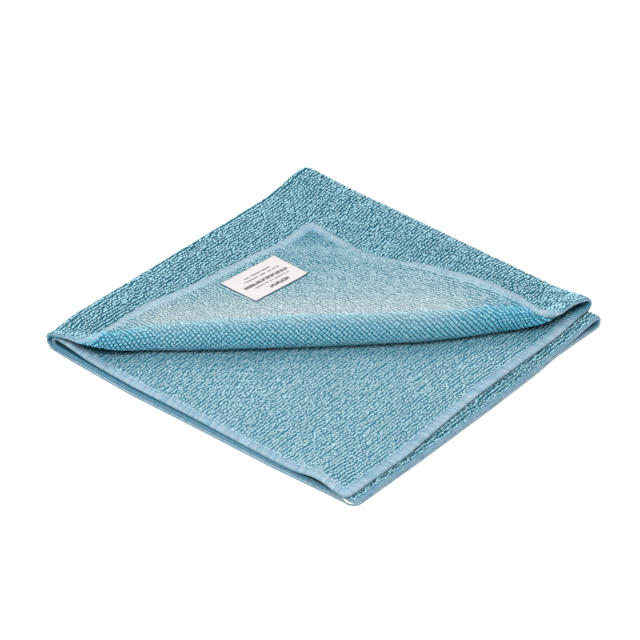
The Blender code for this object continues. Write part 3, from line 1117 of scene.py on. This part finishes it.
def make_tail(settings):
    """The short loose end of thread at the corner of the hem."""
    corners = np.array(TAIL) * MM + SEAT
    knots = np.linspace(0, 1, len(corners))
    at = np.linspace(0, 1, TAIL_RINGS)
    centre = np.stack([np.interp(at, knots, corners[:, k]) for k in range(3)], axis=-1)[None]
    path = unit(np.gradient(centre, axis=1))
    wide = unit(np.cross(path, (0, 0, 1)))
    thin = TAIL_RADIUS * np.sin(math.pi * (0.08 + 0.84 * at))[None, :, None]
    wide, high = wide * thin, np.cross(path, wide) * thin
    one, reach = np.ones(1), np.ones((1, TAIL_RINGS, 2))
    mesh = many_yarns("hem_tail", TAIL_SIDES, centre, wide, high, one, 0 * one, reach)
    finish = Finish("tail_thread", Roughness=0.6, Base_Color=(*settings.tail_colour, 1))
    return link("hem_tail", mesh, finish.material)


# ---- the label

LABEL_LINES = 43, 28  # along u and along v


def make_label(settings):
    u_low, u_high, v_low, v_high = label_box(settings, 0)
    u_lines = np.linspace(u_low, u_high, LABEL_LINES[0])
    v_lines = np.linspace(v_low, v_high, LABEL_LINES[1])

    def shape(u, v):
        place, _, _, inward = directions(u, v)
        return place + inward * settings.height

    mesh, _, _ = formed_grid("label_tape", u_lines, v_lines, shape, "tape")
    return thickened("label_tape", mesh, settings.thickness, tape_finish(settings))


# ---- the stage


def camera_matrix(settings):
    """The camera's place and turn, from its azimuth, elevation, roll and aim."""
    turn = Matrix.Rotation(settings.azimuth, 4, "Z")
    turn = turn @ Matrix.Rotation(math.pi / 2 - settings.elevation, 4, "X")
    turn = turn @ Matrix.Rotation(settings.roll, 4, "Z")
    return turn @ Matrix.Translation((settings.aim_right, settings.aim_up, settings.distance))


def softbox(name, place, size, power):
    """A square area light that faces the cloth."""
    lamp = bpy.data.lights.new(name, "AREA")
    lamp.energy = power
    lamp.size = size
    holder = link(name, lamp)
    holder.location = place
    holder.rotation_euler = Vector(place).to_track_quat("Z", "Y").to_euler()


def make_stage(settings):
    scene = bpy.context.scene
    lens = bpy.data.cameras.new("camera")
    lens.sensor_width = 36
    lens.lens = settings.lens
    scene.camera = link("camera", lens)
    scene.camera.matrix_world = camera_matrix(settings)

    bm = bmesh.new()
    bmesh.ops.create_grid(bm, x_segments=1, y_segments=1, size=6)
    finish = Finish("floor", Roughness=0.8, Base_Color=(*settings.floor_colour, 1))
    link("floor", to_mesh(bm, "floor"), finish.material)

    world = bpy.data.worlds.new("sky")
    world.use_nodes = True
    background = world.node_tree.nodes["Background"]
    background.inputs["Color"].default_value = (1, 1, 1, 1)
    background.inputs["Strength"].default_value = settings.sky
    scene.world = world
    softbox("back", (-0.35, 0.65, 1.35), 0.8, settings.back)
    softbox("key", (0.35, -0.7, 1.4), 0.9, settings.key)
    scene.view_settings.view_transform = "Standard"


# ---- the add-on


class CLOTH_OT_sheet(bpy.types.Operator):
    """Lay out the folded sheet of the cloth"""

    bl_idname = "cloth.sheet"
    bl_label = "Folded sheet"

    def execute(self, context):
        attach(make_sheet(context.scene.cloth_settings), "cloth")
        return {"FINISHED"}


class CLOTH_OT_hem(bpy.types.Operator):
    """Sew the overlock stitches round the hem"""

    bl_idname = "cloth.hem"
    bl_label = "Hem stitches"

    def execute(self, context):
        attach(make_hem(context.scene.cloth_settings), "cloth")
        attach(make_tail(context.scene.cloth_settings), "cloth")
        return {"FINISHED"}


FOLD_BAND = 8 * MM  # pile to each side of the first fold's line
EDGE_BAND = 12 * MM  # pile along the edges of the lowest layers
YARNS = {
    # gain at the root and at the tip of a loop, how much paler, shine.  Soft, roll and fine are
    # one yarn, given by place its painted shade (deeper roots) and painted sheen (paler)
    "loop_yarn": (0.8, 0.92, -0.05, 0.5),
    "soft_yarn": (1.8, 0.79, 0.15, 0.8),
    "roll_yarn": (3.3, 0.85, -0.02, 0.2),
    "fine_yarn": (1.9, 0.71, 0.18, 0.8),
}


class CLOTH_OT_loops(bpy.types.Operator):
    """Set the terry loops on the faces that show"""

    bl_idname = "cloth.loops"
    bl_label = "Terry loops"

    def execute(self, context):
        settings = context.scene.cloth_settings
        label = context.scene.label_settings
        thick, soft, round_yarn, fine = (
            loop_finish(name, settings, *gains) for name, gains in YARNS.items()
        )
        edge = HALF

        def sew(name, *rest, **sizes):
            attach(make_loops(name, settings, *rest, **sizes), "cloth")

        top = loop_places(settings, OUTER, 0, edge, FOLD_BAND, edge)
        sew("pile_top", top[:, is_open_top(*top)], OUTER, 21, thick)
        lower = loop_places(settings, INNER, 0, edge, -edge, 0)
        lower = lower[:, before_roll(*roll_place(*lower)) > -FLAP_MARGIN]
        west = lower[0] < LOWER_SPLIT
        sew("pile_lower_west", lower[:, west], INNER, 22, soft)
        sew("pile_lower_east", lower[:, ~west], INNER, 26, soft)
        flap = loop_places(settings, INNER, 0, edge, 0, edge)
        flap = flap[:, off_label(*flap, label)]
        past = past_start(*roll_place(*flap))
        rolled = (past > FLAP_START) & (past < ROUND_LENGTH)
        sew("pile_roll", flap[:, rolled], INNER, 23, round_yarn)
        sew("pile_flap", flap[:, past >= ROUND_LENGTH], INNER, 24, fine, size=0.95)
        side = -edge + EDGE_BAND
        fields = (
            (-edge, edge, -FOLD_BAND, FOLD_BAND),
            (-14 * MM, 0, FOLD_BAND, edge),
            (-edge, side, -edge, -FOLD_BAND),
            (side, side + 36 * MM, -edge, side),
        )
        places = [loop_places(settings, OUTER, *field) for field in fields]
        places = np.concatenate(places, axis=1)
        sew("pile_folds", places, OUTER, 25, thick, size=1.12, rings=4)
        return {"FINISHED"}


class CLOTH_OT_label(bpy.types.Operator):
    """Sew the label beside the hem"""

    bl_idname = "cloth.label"
    bl_label = "Label"

    def execute(self, context):
        attach(make_label(context.scene.label_settings), "label")
        return {"FINISHED"}


class CLOTH_OT_declare(bpy.types.Operator):
    bl_idname = "cloth.declare"
    bl_label = "Declare sheets"

    def execute(self, context):
        return {"FINISHED"}


class CLOTH_OT_stage(bpy.types.Operator):
    """Set up the floor, the light and the camera"""

    bl_idname = "cloth.stage"
    bl_label = "Stage"

    def execute(self, context):
        make_stage(context.scene.stage_settings)
        return {"FINISHED"}


OPERATORS = (
    CLOTH_OT_stage, CLOTH_OT_sheet, CLOTH_OT_hem,
    CLOTH_OT_loops, CLOTH_OT_label, CLOTH_OT_declare,
)


class VIEW3D_PT_cloth(bpy.types.Panel):
    """The steps that dress the cloth"""

    bl_label = "Cloth"
    bl_space_type = "VIEW_3D"
    bl_region_type = "UI"
    bl_category = "Cloth"

    def draw(self, context):
        for operator in OPERATORS:
            self.layout.operator(operator.bl_idname)


GROUPS = CLOTH_PG_settings, LABEL_PG_settings, STAGE_PG_settings
CLASSES = *GROUPS, *OPERATORS, VIEW3D_PT_cloth


def register():
    for cls in CLASSES:
        bpy.utils.register_class(cls)
    scene = bpy.types.Scene
    scene.cloth_settings = bpy.props.PointerProperty(type=CLOTH_PG_settings)
    scene.label_settings = bpy.props.PointerProperty(type=LABEL_PG_settings)
    scene.stage_settings = bpy.props.PointerProperty(type=STAGE_PG_settings)


def unregister():
    scene = bpy.types.Scene
    del scene.cloth_settings, scene.label_settings, scene.stage_settings
    for cls in reversed(CLASSES):
        bpy.utils.unregister_class(cls)


def main():
    register()
    bpy.ops.cloth.stage()
    bpy.ops.cloth.sheet()
    bpy.ops.cloth.hem()
    bpy.ops.cloth.loops()
    bpy.ops.cloth.label()
    bpy.ops.cloth.declare()


if __name__ == "__main__":
    main()
